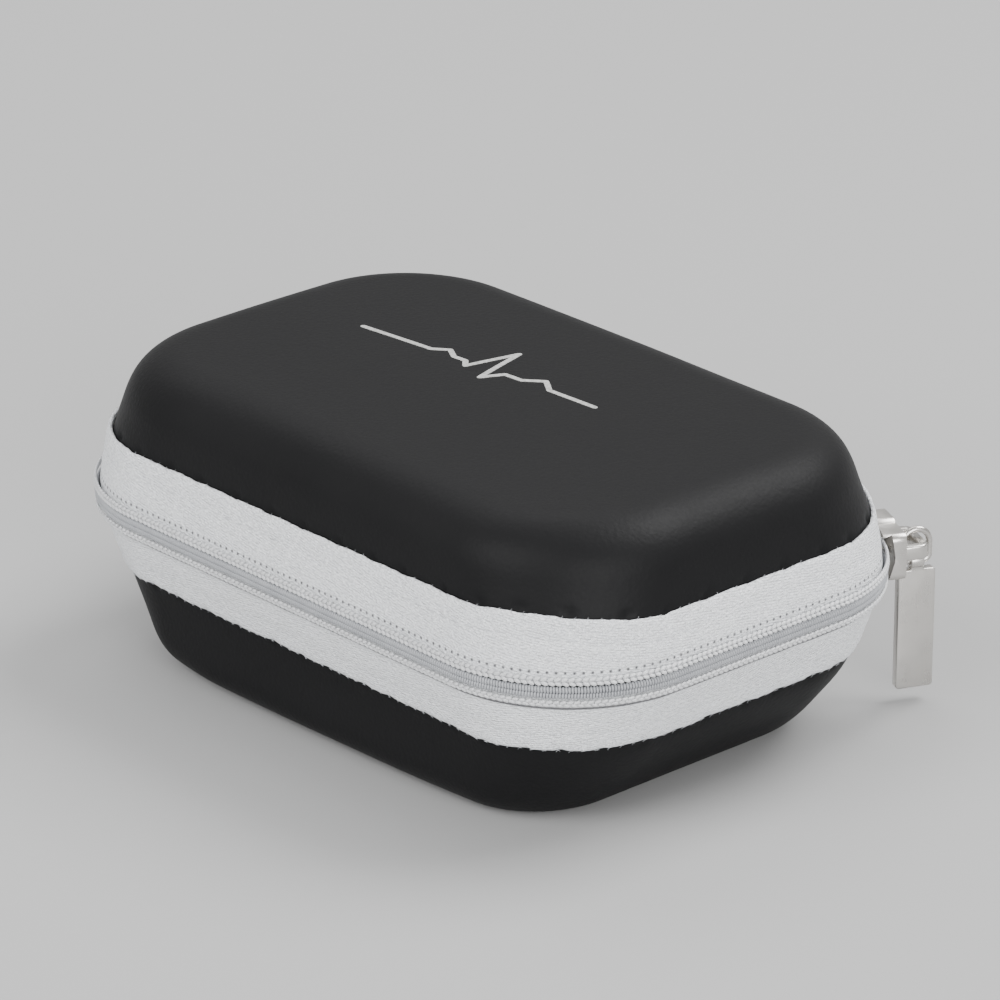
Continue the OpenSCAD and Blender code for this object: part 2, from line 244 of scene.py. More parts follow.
class Finish:
    # a principled material and short ways to add texture nodes to it
    def __init__(self, name, coords="Object", **values):
        self.material = bpy.data.materials.new(name)
        self.material.use_nodes = True
        self.tree = self.material.node_tree
        self.shader = self.tree.nodes["Principled BSDF"]
        for key, value in values.items():
            self.shader.inputs[key.replace("_", " ")].default_value = value
        if coords == "weave":
            self.place = newNode(self.tree, "ShaderNodeUVMap", uv_map="weave").outputs["UV"]
        else:
            self.place = newNode(self.tree, "ShaderNodeTexCoord").outputs[coords]

    def link(self, a, b):
        self.tree.links.new(a, b)

    def mapped(self, scale, rotation=(0, 0, 0)):
        node = newNode(self.tree, "ShaderNodeMapping")
        node.inputs["Scale"].default_value = scale
        node.inputs["Rotation"].default_value = rotation
        self.link(self.place, node.inputs["Vector"])
        return node.outputs["Vector"]

    def noise(self, scale, detail=3, roughness=0.55, vector=None):
        node = newNode(self.tree, "ShaderNodeTexNoise")
        setInputs(node, Scale=scale, Detail=detail, Roughness=roughness, Distortion=0)
        self.link(vector or self.place, node.inputs["Vector"])
        return node.outputs["Fac"]

    def wave(self, vector, distortion=0, direction="X"):
        node = newNode(self.tree, "ShaderNodeTexWave", bands_direction=direction)
        setInputs(node, Scale=1, Distortion=distortion, Detail=0)
        self.link(vector, node.inputs["Vector"])
        return node.outputs["Fac"]

    def cells(self, scale, kind="F1", vector=None, space="3D", **values):
        node = newNode(self.tree, "ShaderNodeTexVoronoi", feature=kind, voronoi_dimensions=space)
        setInputs(node, Scale=scale, **values)
        self.link(vector or self.place, node.inputs["Vector"])
        return node.outputs["Distance"]

    def axes(self):
        parts = newNode(self.tree, "ShaderNodeSeparateXYZ")
        self.link(self.place, parts.inputs[0])
        return parts.outputs["X"], parts.outputs["Y"]

    def math(self, kind, a, b=None, clamp=False):
        node = newNode(self.tree, "ShaderNodeMath", operation=kind, use_clamp=clamp)
        for socket, value in zip(node.inputs, (a, b)):
            if value is None:
                continue
            if isinstance(value, (int, float)):
                socket.default_value = value
            else:
                self.link(value, socket)
        return node.outputs[0]

    def plus(self, a, b):
        return self.math("ADD", a, b)

    def times(self, a, b):
        return self.math("MULTIPLY", a, b)

    def spread(self, value, fromLow, fromHigh, low, high):
        node = newNode(self.tree, "ShaderNodeMapRange")
        for socket, number in zip(node.inputs[1:5], (fromLow, fromHigh, low, high)):
            socket.default_value = number
        self.link(value, node.inputs[0])
        return node.outputs[0]

    def mix(self, share, first, second):
        node = newNode(self.tree, "ShaderNodeMix", data_type="RGBA")
        self.link(share, node.inputs[0])
        for socket, colour in zip(node.inputs[6:8], (first, second)):
            if isinstance(colour, tuple):
                socket.default_value = (*colour, 1)
            else:
                self.link(colour, socket)
        return node.outputs[2]

    def bump(self, height, distance):
        node = newNode(self.tree, "ShaderNodeBump")
        setInputs(node, Distance=distance, Strength=1.0)
        self.link(height, node.inputs["Height"])
        self.link(node.outputs["Normal"], self.shader.inputs["Normal"])

    def colour(self, socket):
        self.link(socket, self.shader.inputs["Base Color"])

    def roughness(self, socket):
        self.link(socket, self.shader.inputs["Roughness"])


def softSkin():
    look = {"dark": (0.0065, 0.0065, 0.007), "light": (0.0095, 0.0095, 0.010),
            "speck": (0.12, 0.12, 0.115), "grain": 0.03 * mm}
    f = Finish("softTouchSkin", Specular_IOR_Level=0.1)
    cloud = f.noise(60, detail=4)
    fine = f.noise(2600, detail=2, roughness=0.6)
    speck = f.spread(f.cells(75.0), 0.010, 0.018, 1, 0)
    few = f.spread(f.noise(38, detail=1), 0.6, 0.66, 0, 1)
    base = f.mix(cloud, look["dark"], look["light"])
    f.colour(f.mix(f.times(speck, few), base, look["speck"]))
    f.roughness(f.plus(f.spread(cloud, 0.3, 0.7, 0.48, 0.55), f.spread(fine, 0.3, 0.7, -0.03, 0.03)))
    f.bump(f.plus(f.times(fine, 0.6), f.cells(1700.0, "SMOOTH_F1")), look["grain"])
    return f.material


def wovenTape(name, needleUp, shadowLineUp):
    look = {"thread": (0.96, 0.98, 1.0), "gap": (0.62, 0.63, 0.66), "holeShade": (0.12, 0.12, 0.13),
            "pick": 0.55 * mm, "end": 0.36 * mm, "wobble": 0.35 * mm, "slant": math.radians(9),
            "needlePitch": 1.2 * mm, "needleRadius": 0.17 * mm, "shadowLineHalf": 0.17 * mm,
            "relief": 0.2 * mm}
    f = Finish(name, coords="weave", Roughness=0.86, Specular_IOR_Level=0.25,
               Sheen_Weight=0.3, Sheen_Roughness=0.45)
    # threads lie in slanting rows, with the slant wandering a little
    shifted = newNode(f.tree, "ShaderNodeVectorMath", operation="MULTIPLY_ADD")
    shifted.inputs[1].default_value = (look["wobble"], look["wobble"], 0)
    noiseColour = newNode(f.tree, "ShaderNodeTexNoise")
    setInputs(noiseColour, Scale=700.0, Detail=2.0)
    f.link(f.place, noiseColour.inputs["Vector"])
    f.link(noiseColour.outputs["Color"], shifted.inputs[0])
    f.link(f.place, shifted.inputs[2])
    turned = newNode(f.tree, "ShaderNodeMapping")
    turned.inputs["Rotation"].default_value = (0, 0, look["slant"])
    f.link(shifted.outputs[0], turned.inputs["Vector"])
    bricks = newNode(f.tree, "ShaderNodeTexBrick", offset=0.5)
    setInputs(bricks, Scale=1.0, Mortar_Size=0.00009, Mortar_Smooth=0.9, Brick_Width=look["pick"] * 1.7,
              Row_Height=look["end"])
    bricks.inputs["Color1"].default_value = (1, 1, 1, 1)
    bricks.inputs["Color2"].default_value = (0.82, 0.82, 0.82, 1)
    bricks.inputs["Mortar"].default_value = (0, 0, 0, 1)
    f.link(turned.outputs["Vector"], bricks.inputs["Vector"])
    tufts = f.cells(1.0, "SMOOTH_F1", f.mapped((1150, 3000, 1)), "2D", Smoothness=0.3)
    grain = f.spread(tufts, 0.1, 0.75, 1, 0)
    # short loose strokes of yarn along the tape
    strokes = f.noise(1, detail=2, roughness=0.5, vector=f.mapped((1700, 3100, 1), rotation=(0, 0, 0.12)))
    fleck = f.spread(strokes, 0.5, 0.58, 0, 1)
    pit = f.spread(strokes, 0.38, 0.46, 1, 0)
    weave = f.plus(f.times(bricks.outputs["Color"], 0.45), f.times(grain, 0.65))
    # needle holes beside the coil's stitching, painted dark as painted shade inside them and dented a
    # little in the bump
    x, y = f.axes()
    along = f.math("PINGPONG", x, look["needlePitch"] / 2)
    across = f.math("SUBTRACT", y, needleUp)
    away = f.math("SQRT", f.plus(f.math("POWER", along, 2), f.math("POWER", across, 2)))
    hole = f.spread(away, look["needleRadius"] * 0.6, look["needleRadius"] * 1.6, 1, 0)
    # and a thin dark line along the tape: painted shadow of the zip chain standing proud over it, also
    # dented a little in the bump
    off = f.math("ABSOLUTE", f.math("SUBTRACT", y, shadowLineUp))
    shadowLine = f.spread(off, look["shadowLineHalf"] * 0.6, look["shadowLineHalf"] * 1.5, 1, 0)
    hole = f.math("MAXIMUM", hole, shadowLine)
    wisps = f.noise(260, detail=5, roughness=0.7)
    # the cloth's colour runs from the darker gap colour, painted shade between the threads, to the thread
    # colour; wisps, flecks and pits add random tone
    shade = f.times(f.spread(weave, 0, 0.8, 0.4, 0.85), f.spread(wisps, 0.3, 0.7, 0.84, 1))
    shade = f.math("SUBTRACT", f.plus(shade, f.times(fleck, 0.35)),
                   f.times(pit, 0.3), clamp=True)
    cloth = f.mix(shade, look["gap"], look["thread"])
    # the needle holes and the thin line are painted near black: painted shade and painted shadow
    f.colour(f.mix(hole, cloth, look["holeShade"]))
    height = f.math("SUBTRACT", f.plus(weave, f.times(fleck, 0.5)), hole)
    f.bump(height, look["relief"])
    return f.material


def sewingThread(name, colour):
    twist = 4200
    f = Finish(name, Roughness=0.7, Specular_IOR_Level=0.3, Sheen_Weight=0.2, Sheen_Roughness=0.4)
    strands = f.wave(f.mapped((twist, twist, twist), rotation=(0.6, 0.5, 0.4)), distortion=1.5)
    cloud = f.noise(500, detail=3)
    f.colour(f.mix(f.times(strands, f.spread(cloud, 0.3, 0.7, 0.6, 1)),
                   tuple(c * 0.68 for c in colour), colour))
    f.bump(strands, 0.04 * mm)
    return f.material


def nylonCoil():
    f = Finish("nylonCoil", Specular_IOR_Level=0.5)
    cloud = f.noise(300, detail=3)
    f.colour(f.mix(cloud, (0.30, 0.31, 0.33), (0.42, 0.43, 0.45)))
    f.roughness(f.spread(cloud, 0.3, 0.7, 0.32, 0.48))
    f.bump(f.noise(4000, detail=2), 0.01 * mm)
    return f.material


def ribbedWebbing(name, dark, light, ribs=900):
    picks = 1500
    f = Finish(name, coords="weave", Roughness=0.82, Specular_IOR_Level=0.3, Sheen_Weight=0.3,
               Sheen_Roughness=0.5)
    rib = f.wave(f.mapped((ribs, ribs, 1)), direction="Y")
    pick = f.wave(f.mapped((picks, picks, 1)), distortion=0.6)
    cloth = f.plus(f.times(rib, 0.7), f.times(pick, 0.5))
    cloud = f.noise(400, detail=4)
    f.colour(f.mix(f.times(cloth, cloud), dark, light))
    f.bump(cloth, 0.12 * mm)
    return f.material


def brushedLining():
    f = Finish("knitLining", Roughness=0.92, Specular_IOR_Level=0.2, Sheen_Weight=0.5, Sheen_Roughness=0.6)
    knit = f.cells(1500.0, vector=f.mapped((1, 1, 0.6)))
    nap = f.noise(350, detail=5, roughness=0.7)
    f.colour(f.mix(nap, (0.022, 0.022, 0.025), (0.055, 0.055, 0.06)))
    f.bump(f.plus(knit, nap), 0.08 * mm)
    return f.material


def mouldedFoam():
    f = Finish("mouldedFoam", Roughness=0.9, Specular_IOR_Level=0.2)
    f.colour(f.mix(f.noise(200, detail=3), (0.03, 0.03, 0.032), (0.05, 0.05, 0.052)))
    f.bump(f.cells(2200.0), 0.05 * mm)
    return f.material


def satinNickel(name, streak=(60, 60, 2600), tint=(0.66, 0.64, 0.61)):
    f = Finish(name, Metallic=1.0, Specular_IOR_Level=0.5)
    brushed = f.noise(1, detail=4, roughness=0.6, vector=f.mapped(streak))
    cloud = f.noise(240, detail=4)
    f.colour(f.mix(cloud, tuple(c * 0.84 for c in tint), tint))
    f.roughness(f.plus(f.spread(cloud, 0.3, 0.7, 0.24, 0.36), f.spread(brushed, 0.3, 0.7, -0.04, 0.05)))
    f.bump(brushed, 0.006 * mm)
    return f.material


def printInk():
    f = Finish("greyInk", Specular_IOR_Level=0.4)
    cloud = f.noise(1800, detail=3)
    f.colour(f.mix(f.spread(cloud, 0.35, 0.6, 0, 1), (0.30, 0.30, 0.29), (0.44, 0.44, 0.43)))
    f.roughness(f.spread(cloud, 0.3, 0.7, 0.5, 0.66))
    f.bump(f.noise(2600, detail=2), 0.02 * mm)
    return f.material


def netCloth():
    look = {"cell": 1.6 * mm, "yarn": (0.06, 0.06, 0.065), "hole": (0.008, 0.008, 0.009)}
    f = Finish("pocketNet", coords="weave", Roughness=0.75, Specular_IOR_Level=0.3, Sheen_Weight=0.2)
    x, y = f.axes()
    a = f.math("PINGPONG", f.plus(x, y), look["cell"] / 2)
    b = f.math("PINGPONG", f.math("SUBTRACT", x, y), look["cell"] / 2)
    yarn = f.spread(f.math("MINIMUM", a, b), 0.16 * mm, 0.3 * mm, 1, 0)
    # the holes are painted near black: painted shade for the lining seen through the net
    f.colour(f.mix(yarn, look["hole"], look["yarn"]))
    f.bump(yarn, 0.2 * mm)
    return f.material


def stageGrey():
    f = Finish("stageGrey", Roughness=0.7, Specular_IOR_Level=0.25)
    f.colour(f.mix(f.noise(3, detail=2), (0.385, 0.385, 0.385), (0.40, 0.40, 0.40)))
    return f.material


finishes = {
    # each tape: the height of its needle holes, then of its painted shadow line under the chain
    "skin": softSkin(), "lidTape": wovenTape("lidTape", 2.5 * mm, 0.3 * mm),
    "baseTape": wovenTape("baseTape", 0.3 * mm, 2.65 * mm),
    "thread": sewingThread("paleThread", (0.93, 0.94, 0.96)),
    "seamThread": sewingThread("seamThread", (0.86, 0.88, 0.91)),
    "darkThread": sewingThread("darkThread", (0.03, 0.03, 0.032)), "coil": nylonCoil(),
    "webbing": ribbedWebbing("spineWebbing", (0.008, 0.008, 0.009), (0.035, 0.035, 0.037)),
    "binding": ribbedWebbing("bindingWeave", (0.01, 0.01, 0.011), (0.05, 0.05, 0.052), ribs=1300),
    "elastic": ribbedWebbing("foldElastic", (0.012, 0.012, 0.013), (0.06, 0.06, 0.063), ribs=1100),
    "lining": brushedLining(), "foam": mouldedFoam(), "slider": satinNickel("sliderNickel"),
    "tab": satinNickel("tabNickel", streak=(2600, 2600, 60)), "wire": satinNickel("wireNickel"),
    "ink": printInk(), "net": netCloth(), "stage": stageGrey(),
}
print("finishes made")


def ringStations(spacing):
    # round the whole outline, with matching steps on facing sides, and how many on each leg
    nx, ny, nc = (max(2, round(l / spacing)) for l in (2 * coreX, 2 * coreY, quarter))
    legs = [(leftCornerStart, quarter, nc), (leftCornerStart + quarter, 2 * coreY, ny)]
    s = leftCornerStart + quarter + 2 * coreY
    for length, n in ((quarter, nc), (2 * coreX, nx), (quarter, nc), (2 * coreY, ny), (quarter, nc),
                      (2 * coreX, nx)):
        legs.append((s, length, n))
        s += length
    return [start + length * i / n for start, length, n in legs for i in range(n)], nx, ny


def shellSurface(half, depth, angles, flatSteps, stations, nx, ny, shift):
    # rows of points up the wall and in over the flat, then the grid in the middle
    verts, faces = [], []
    plans = [planAt(s) for s in stations]
    flatInset, flatHeight = wallPoint(half, math.pi / 2, depth)
    rows = [[placed(p, *wallPoint(half, a, depth)) for p in plans] for a in angles]
    for i in range(1, flatSteps + 1):
        inset = flatInset + (cornerRadius - flatInset) * i / flatSteps
        rows.append([placed(p, inset, flatHeight) for p in plans])
    n = len(stations)
    for r, row in enumerate(rows):
        up = angles[r] if r < len(angles) else math.pi / 2
        verts += [shift(v, s, up) for v, s in zip(row, stations)]
    for r in range(len(rows) - 1):
        for i in range(n):
            j = (i + 1) % n
            faces.append((r * n + i, r * n + j, (r + 1) * n + j, (r + 1) * n + i))
    start = len(verts)
    for i in range(nx + 1):
        for j in range(ny + 1):
            p = Vector((-coreX + 2 * coreX * i / nx, -coreY + 2 * coreY * j / ny, flatHeight))
            verts.append(shift(p, None, math.pi / 2))
    for i in range(nx):
        for j in range(ny):
            a = start + i * (ny + 1) + j
            faces.append((a, a + ny + 1, a + ny + 2, a + 1))
    return verts, faces, n


def shellLayer(name, half, outer, inner, spacing, angles, innerAngles, material, dent=None):
    stations, nx, ny = ringStations(spacing)

    def crown(p, s, angle):
        if half == "lid":
            p.z -= crownDrop(p.x, p.y) * smooth((angle - 0.6) / 0.9)
            if s is not None:
                p += cornerDraw(p, s)
        else:
            p += baseTuck(p)
        return p

    def dented(p, s, angle):
        p = crown(p, s, angle)
        if dent:
            p = dent(p, s, angle)
        p.z = max(p.z, 0)
        return p

    outerVerts, outerFaces, n = shellSurface(half, outer, angles, 6, stations, nx, ny, dented)
    innerVerts, innerFaces, n = shellSurface(half, inner, innerAngles, 3, stations, nx, ny, crown)
    start = len(outerVerts)
    faces = outerFaces + [tuple(start + k for k in reversed(f)) for f in innerFaces]
    # the rim
    for i in range(n):
        j = (i + 1) % n
        faces.append((i, start + i, start + j, j))
    return makeObject(name, outerVerts + innerVerts, faces, material, merge=1e-7)


shellLook = {"skinOut": 0.6 * mm, "skinIn": 1.18 * mm, "coreOut": 1.2 * mm, "coreIn": 3.98 * mm,
             "liningOut": 4.0 * mm, "liningIn": 4.4 * mm, "rimUp": 5.3 * mm,
             "lidDimplePitch": 7.1 * mm, "baseDimplePitch": 6.3 * mm,
             "dimpleDeep": 0.32 * mm, "dimpleWide": 0.75 * mm, "dimpleReach": 4 * mm,
             "uneven": 0.05 * mm, "finePitch": 0.34 * mm}


def anglesBetween(half, ups, extra):
    # rows at given heights, then on in even steps to the flat
    found = [angleAt(half, u) for u in ups]
    last = found[-1]
    return found + [last + (math.pi / 2 - last) * i / extra for i in range(1, extra + 1)]


def needleMarks(pitch, seed):
    rng = random.Random(seed)
    count = int((perimeter - 2 * spineHalf) / pitch)
    return [spineHalf + (i + 0.5 + rng.uniform(-0.12, 0.12)) * pitch for i in range(count)]


# narrower at the right end and the left end, and wider round the lid's front right corner
tapeTrim = {"lid": (1.15 * mm, 0.3 * mm), "base": (0.4 * mm, 0.5 * mm), "corner": 1.2 * mm}
marks = {"lid": needleMarks(shellLook["lidDimplePitch"], 3),
         "base": needleMarks(shellLook["baseDimplePitch"], 5)}


def tapeWidth(half, s):
    # the tape is a little narrower round the ends than along the front
    nx, ny = planAt(s)[2:]
    trim = tapeTrim[half][0 if nx > 0 else 1]
    wider = tapeTrim["corner"] if half == "lid" and nx > 0 > ny else 0
    return (caseShape[half + "TapeWidth"] - trim * smooth((abs(nx) - 0.25) / 0.6)
            + wider * (2 * nx * ny) ** 2)


def nearestMark(half, s):
    return min(abs(s - m) for m in marks[half]) if s is not None else 1


def skinDent(half, width):
    def move(p, s, angle):
        up = walls[half][0] * (wallPoint(half, angle, 0)[1] - zipHeight)
        lump = noise.noise(p * 55) * shellLook["uneven"]
        push = lump * smooth((up - width) / shellLook["dimpleReach"])
        if s is not None and abs(up - width) < shellLook["dimpleReach"]:
            away = math.hypot(nearestMark(half, s), up - tapeWidth(half, s) - 0.25 * mm)
            push -= shellLook["dimpleDeep"] * math.exp(-(away / shellLook["dimpleWide"]) ** 2)
        if s is None:
            return p + Vector((0, 0, walls[half][0] * lump))
        nx, ny = planAt(s)[2:]
        sign, lean = walls[half][0], walls[half][2]
        turn = lean + (math.pi / 2 - lean) * max(0, angle - edgeFrom) / (math.pi / 2 - edgeFrom)
        outward = Vector((nx * math.cos(turn), ny * math.cos(turn), sign * math.sin(turn)))
        return p + outward * push
    return move


for half in halves:
    width = caseShape[half + "TapeWidth"]
    # rows close together where the skin's edge is dimpled
    upsFine = [shellLook["rimUp"], 6.2 * mm, 7.1 * mm]
    upsFine += [width + (i - 4) * shellLook["finePitch"] for i in range(12)]
    upsPlain = [shellLook["rimUp"], 8 * mm, 11 * mm]
    plainRows = anglesBetween(half, upsPlain, 12)
    skin = shellLayer(f"{half}SkinShell", half, shellLook["skinOut"], shellLook["skinIn"], 0.7 * mm,
                      anglesBetween(half, upsFine, 24), anglesBetween(half, upsPlain, 9),
                      finishes["skin"], skinDent(half, width))
    core = shellLayer(f"{half}FoamShell", half, shellLook["coreOut"], shellLook["coreIn"], 1.6 * mm,
                      plainRows, plainRows, finishes["foam"])
    lining = shellLayer(f"{half}LiningShell", half, shellLook["liningOut"], shellLook["liningIn"],
                        1.4 * mm, plainRows, anglesBetween(half, upsPlain, 14), finishes["lining"])
    for piece, node, slot in ((skin, "skin", "shell_skin"), (core, "core", "foam_core"),
                              (lining, "lining", "lining")):
        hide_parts(f"{half}_{node}")
        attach(piece, half)
print("shells made")


tapeLook = {"inner": 0.9 * mm, "tuck": 4 * mm, "step": 0.5 * mm, "puff": 0.16 * mm, "lump": 0.07 * mm,
            "roundOff": 0.16 * mm, "seamFromEdge": 3.0 * mm, "seamPull": 0.08 * mm, "seamHalf": 0.6 * mm,
            "edgeWander": {"lid": 0.15 * mm, "base": 0.4 * mm}, "edgeFray": 0.12 * mm,
            "markPull": {"lid": 0.16 * mm, "base": 0.1 * mm}, "markSink": 0.1 * mm, "freeOver": 3 * mm}


def tapeFree(s):
    # the tape lies plain where its ends go under the spine strip
    over = tapeLook["freeOver"]
    return smooth((s - spineHalf) / over) * smooth((perimeter - spineHalf - s) / over)


def tapeEdge(half, s):
    width = tapeWidth(half, s)
    wander = tapeLook["edgeWander"][half]
    slow = noise.noise(Vector((s * 120, 3 if half == "lid" else 9, 0))) * wander
    fine = noise.noise(Vector((s * 900, 7, 1))) * tapeLook["edgeFray"]
    pull = tapeLook["markPull"][half] * math.exp(-(nearestMark(half, s) / mm) ** 2)
    return width + (slow + fine - pull) * tapeFree(s)


def zipTape(name, half):
    s0, s1 = spineHalf - tapeLook["tuck"], perimeter - spineHalf + tapeLook["tuck"]
    steps = round((s1 - s0) / tapeLook["step"])
    rings, uvs = [], []
    shares = [0, 0.015, 0.05] + [0.05 + 0.9 * i / 14 for i in range(1, 14)] + [0.95, 0.985, 1]
    for i in range(steps + 1):
        s = s0 + (s1 - s0) * i / steps
        edge = tapeEdge(half, s)
        free = tapeFree(s)
        ring, uv = [], []
        seamUp = tapeWidth(half, s) - tapeLook["seamFromEdge"]
        for share in shares:
            up = tapeLook["inner"] + (edge - tapeLook["inner"]) * share
            lump = noise.noise(Vector((s * 260, up * 400, 5))) * tapeLook["lump"]
            puff = tapeLook["puff"] * math.sin(math.pi * share) + lump
            puff -= tapeLook["seamPull"] * math.exp(-((up - seamUp) / tapeLook["seamHalf"]) ** 2)
            sink = tapeLook["markSink"] * smooth((share - 0.9) / 0.1)
            puff -= sink * math.exp(-(nearestMark(half, s) / mm) ** 2)
            roundOff = tapeLook["roundOff"] * (1 - smooth(min(share, 1 - share) / 0.03))
            ring.append(onWall(half, s, up, -puff * free + roundOff))
            uv.append((s, up))
        for share in (0.985, 0.6, 0.3, 0.02):
            up = tapeLook["inner"] + (edge - tapeLook["inner"]) * share
            ring.append(onWall(half, s, up, tapeT - 0.03 * mm))
            uv.append((s, up))
        rings.append(ring)
        uvs.append(uv)
    return sweep(name, rings, False, finishes[half + "Tape"], uvs)


tapes = {half: zipTape(f"{half}ZipTape", half) for half in halves}
print("tapes made")


def pathObject(name, lines):
    # each line: points, outward directions and slants
    verts, edges, outward, slant = [], [], [], []
    for points, outs, slants in lines:
        start = len(verts)
        verts += points
        outward += outs
        slant += slants
        edges += [(start + i, start + i + 1) for i in range(len(points) - 1)]
    mesh = bpy.data.meshes.new(name)
    mesh.from_pydata([tuple(v) for v in verts], edges, [])
    mesh.attributes.new("outward", "FLOAT_VECTOR", "POINT").data.foreach_set(
        "vector", [c for v in outward for c in v])
    mesh.attributes.new("slant", "FLOAT", "POINT").data.foreach_set("value", slant)
    return inScene(name, mesh)


def wallLine(half, s0, s1, up, depth, slant=0.0):
    # a line along the wall, at a height that is a number or follows from the place
    n = max(2, round((s1 - s0) / (0.8 * mm)))
    stations = [s0 + (s1 - s0) * i / n for i in range(n + 1)]
    ups = [up(s) if callable(up) else up for s in stations]
    return ([onWall(half, s, u, depth) for s, u in zip(stations, ups)],
            [outwardAt(half, s, u) for s, u in zip(stations, ups)], [slant] * (n + 1))


def rowTree(name, shape):
    # one group that lays copies of a shape along a path: a stitch, or a turn of the coil
    tree = bpy.data.node_groups.new(name, "GeometryNodeTree")
    inputs = (("Geometry", "Geometry", None), ("Pitch", "Float", 1.3 * mm), ("Long", "Float", 1.2 * mm),
              ("Wide", "Float", 0.5 * mm), ("High", "Float", 0.3 * mm), ("Wire", "Float", 0.25 * mm),
              ("Turn", "Float", 0.0), ("Wander", "Float", 0.1), ("Seed", "Int", 1),
              ("Finish", "Material", None))
    for label, kind, value in inputs:
        socket = tree.interface.new_socket(label, in_out="INPUT", socket_type="NodeSocket" + kind)
        if value is not None:
            socket.default_value = value
    tree.interface.new_socket("Geometry", in_out="OUTPUT", socket_type="NodeSocketGeometry")
    put = newNode(tree, "NodeGroupInput").outputs
    out = newNode(tree, "NodeGroupOutput")

    def fed(kind, sources, **settings):
        # a node with its inputs linked to the sockets given
        node = newNode(tree, kind, **settings)
        for socket, source in sources.items():
            tree.links.new(source, node.inputs[socket])
        return node

    def attribute(label, kind):
        node = newNode(tree, "GeometryNodeInputNamedAttribute", data_type=kind)
        node.inputs["Name"].default_value = label
        return node.outputs["Attribute"]

    def total(a, b):
        return fed("ShaderNodeMath", {0: a, 1: b}, operation="ADD").outputs[0]

    curve = fed("GeometryNodeMeshToCurve", {0: put["Geometry"]})
    spaced = fed("GeometryNodeResampleCurve", {"Curve": curve.outputs[0], "Length": put["Pitch"]},
                 mode="LENGTH")
    # each copy stands outwards from the wall and heads along the path
    stand = fed("FunctionNodeAlignRotationToVector", {"Vector": attribute("outward", "FLOAT_VECTOR")},
                axis="Z")
    tangent = newNode(tree, "GeometryNodeInputTangent").outputs[0]
    heading = fed("FunctionNodeAlignRotationToVector", {"Rotation": stand.outputs[0], "Vector": tangent},
                  axis="X", pivot_axis="Z")
    # it is turned by its line's slant, its row's turn and a little chance
    low = fed("ShaderNodeMath", {0: put["Wander"]}, operation="MULTIPLY")
    low.inputs[1].default_value = -1
    loose = fed("FunctionNodeRandomValue", {2: low.outputs[0], 3: put["Wander"], "Seed": put["Seed"]},
                data_type="FLOAT")
    angle = total(total(attribute("slant", "FLOAT"), put["Turn"]), loose.outputs[1])
    swing = fed("FunctionNodeAxisAngleToRotation", {"Angle": angle})
    swing.inputs["Axis"].default_value = (0, 0, 1)
    turned = fed("FunctionNodeRotateRotation", {0: heading.outputs[0], 1: swing.outputs[0]},
                 rotation_space="LOCAL")
    size = fed("ShaderNodeCombineXYZ", {"Y": put["Wide"], "Z": put["High"]})
    if shape == "stitch":
        ball = setInputs(newNode(tree, "GeometryNodeMeshUVSphere"), Segments=6, Rings=5, Radius=0.5)
        tree.links.new(put["Long"], size.inputs["X"])
        source = ball.outputs["Mesh"]
    else:
        ring = setInputs(newNode(tree, "GeometryNodeCurvePrimitiveCircle"), Resolution=12, Radius=0.5)
        # the circle is turned to lie across the path
        upright = fed("GeometryNodeTransform", {"Geometry": ring.outputs["Curve"]})
        upright.inputs["Rotation"].default_value = (0, math.pi / 2, 0)
        size.inputs["X"].default_value = 1
        source = upright.outputs[0]
    item = fed("GeometryNodeTransform", {"Geometry": source, "Scale": size.outputs[0]}).outputs[0]
    if shape == "coil":
        wire = fed("GeometryNodeCurvePrimitiveCircle", {"Radius": put["Wire"]})
        wire.inputs["Resolution"].default_value = 6
        tube = fed("GeometryNodeCurveToMesh", {"Curve": item, "Profile Curve": wire.outputs["Curve"]})
        item = tube.outputs[0]
    laid = fed("GeometryNodeInstanceOnPoints",
               {"Points": spaced.outputs[0], "Instance": item, "Rotation": turned.outputs[0]})
    real = fed("GeometryNodeRealizeInstances", {0: laid.outputs[0]})
    even = fed("GeometryNodeSetShadeSmooth", {"Geometry": real.outputs[0]})
    dressed = fed("GeometryNodeSetMaterial", {"Geometry": even.outputs[0], "Material": put["Finish"]})
    tree.links.new(dressed.outputs[0], out.inputs[0])
    return tree


rowTrees = {"stitch": rowTree("stitchesAlongPath", "stitch"), "coil": rowTree("coilAlongPath", "coil")}


def laidRow(name, kind, lines, material, **values):
    obj = pathObject(name, lines)
    tree = rowTrees[kind]
    modifier = obj.modifiers.new("row", "NODES")
    modifier.node_group = tree
    sockets = {i.name: i.identifier for i in tree.interface.items_tree if i.in_out == "INPUT"}
    for label, value in values.items():
        modifier[sockets[label]] = value
    modifier[sockets["Finish"]] = material
    mesh = bakedMesh(obj)
    bpy.data.objects.remove(obj)
    for label in ("outward", "slant"):
        if label in mesh.attributes:
            mesh.attributes.remove(mesh.attributes[label])
    return inScene(name, mesh)


